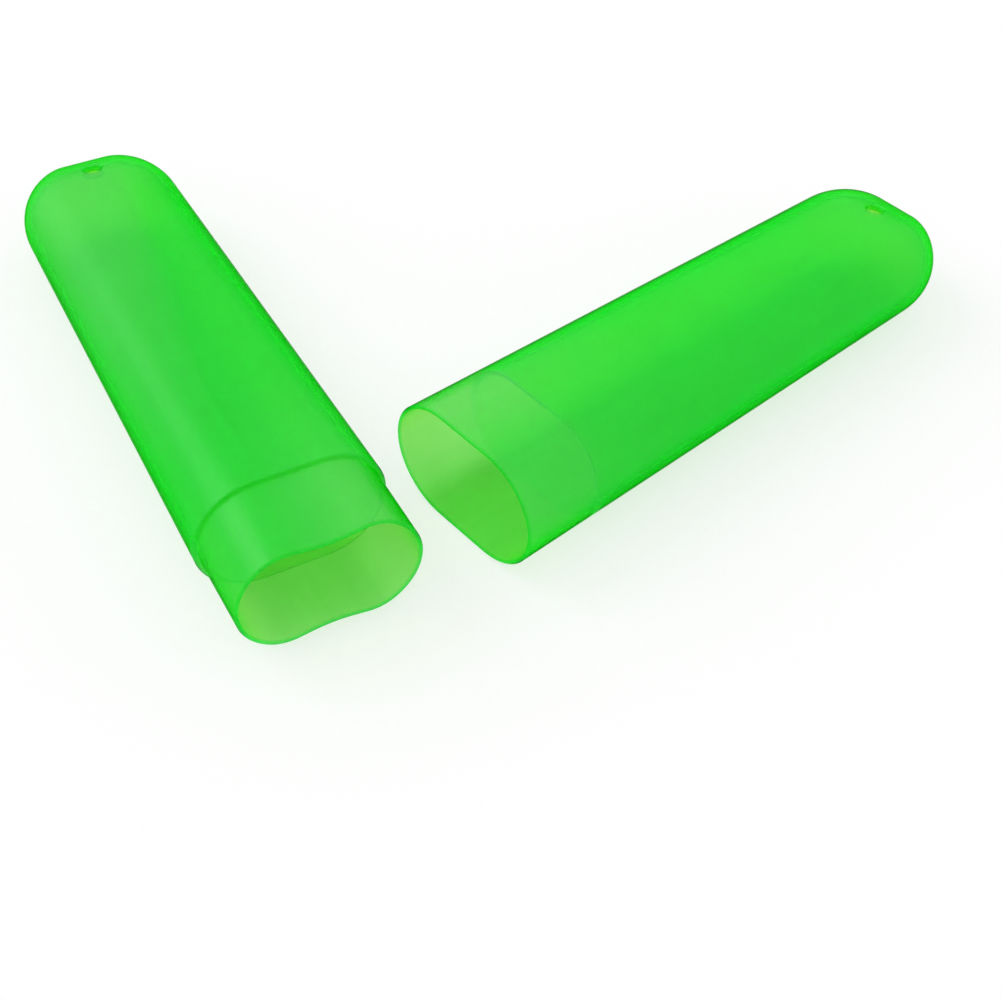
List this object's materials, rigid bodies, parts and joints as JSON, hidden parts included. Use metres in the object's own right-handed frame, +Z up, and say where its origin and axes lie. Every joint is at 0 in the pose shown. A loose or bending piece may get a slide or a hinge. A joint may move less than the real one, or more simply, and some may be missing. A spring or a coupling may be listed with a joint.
{
  "type": "toothbrush case",
  "caption": "Two-piece travel case for a toothbrush in translucent plastic: an oval tube with domed ends, shown open, the push-fit cap lying beside the necked body.",
  "frame": {"origin": "on the surface that the case lies on, under the middle of the body half's straight barrel", "axes": "+Z up, square to the flat side that the body half lies on; +Y along the body half from its open mouth to its closed end; the cap half lies on the +X side"},
  "size_m": [0.1544, 0.1261, 0.022],
  "materials": {
    "body_plastic": "translucent green polypropylene, satin",
    "cap_plastic": "translucent green polypropylene, satin"
  },
  "bodies": {
    "body": {"case_body": "body_plastic"},
    "cap": {"case_cap": "cap_plastic"}
  },
  "joints": [
    {"name": "cap_pull", "type": "slide", "parent": "body", "child": "cap", "axis": [0.974, 0.2266, 0], "range_m": [0, 0.015]}
  ]
}
